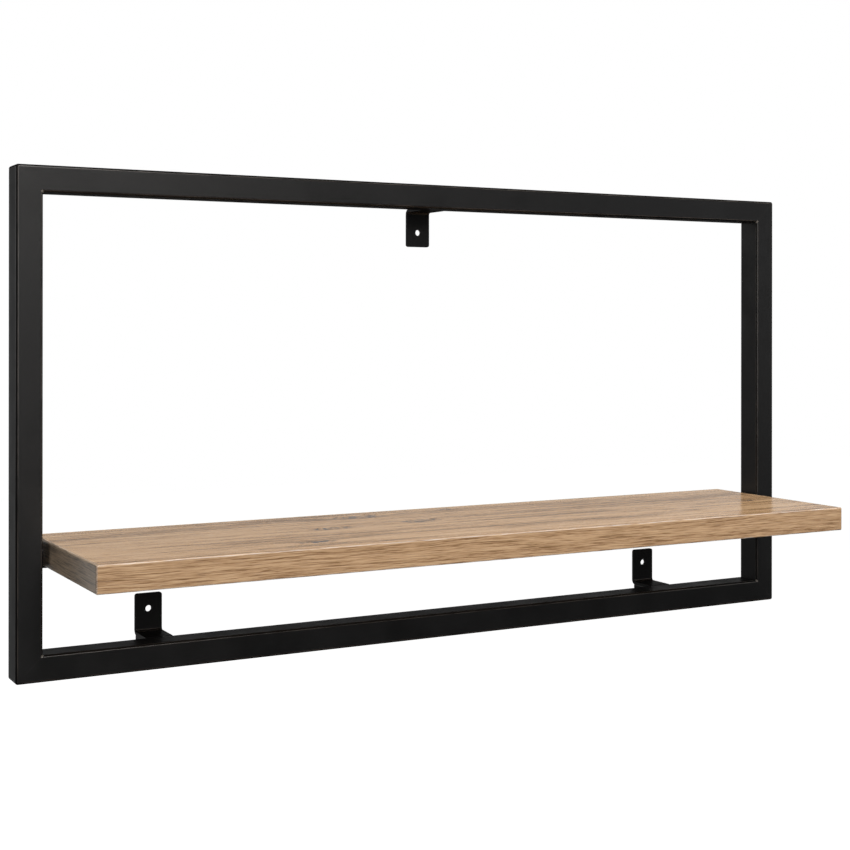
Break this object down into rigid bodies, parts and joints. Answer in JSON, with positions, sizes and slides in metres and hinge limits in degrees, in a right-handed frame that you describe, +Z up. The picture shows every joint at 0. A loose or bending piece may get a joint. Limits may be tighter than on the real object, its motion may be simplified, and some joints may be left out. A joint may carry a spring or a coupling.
{
  "type": "wall shelf",
  "caption": "Wall shelf: an open rectangular frame of black steel tube that carries a deep oak-look board and hangs on folded steel brackets screwed to the wall.",
  "frame": {"origin": "centre of the upper wall bracket's screw hole, on the wall plane", "axes": "+X along the shelf from its left end to its right end as seen from the room, +Y into the wall, +Z up; the front of the shelf faces -Y"},
  "size_m": [0.9, 0.212, 0.476],
  "materials": {
    "frame_paint": "black powder coat, satin, fine grained",
    "bracket_paint": "black powder coat, satin",
    "board_face": "oak decor, straight grain along the board, satin lacquer look",
    "edge_band": "oak decor band, straight grain along the edge",
    "screw_steel": "zinc plated"
  },
  "bodies": {
    "root": {"top_bar": "frame_paint", "bottom_bar": "frame_paint", "left_upright": "frame_paint", "right_upright": "frame_paint", "upper_wall_bracket": "bracket_paint", "lower_left_wall_bracket": "bracket_paint", "lower_right_wall_bracket": "bracket_paint", "bracket_welds": "bracket_paint", "left_board_lug": "bracket_paint", "right_board_lug": "bracket_paint", "lug_welds": "bracket_paint", "board_core": "board_face", "front_edge_band": "edge_band", "back_edge_band": "edge_band", "left_edge_band": "edge_band", "right_edge_band": "edge_band", "board_screws": "screw_steel"}
  },
  "joints": []
}
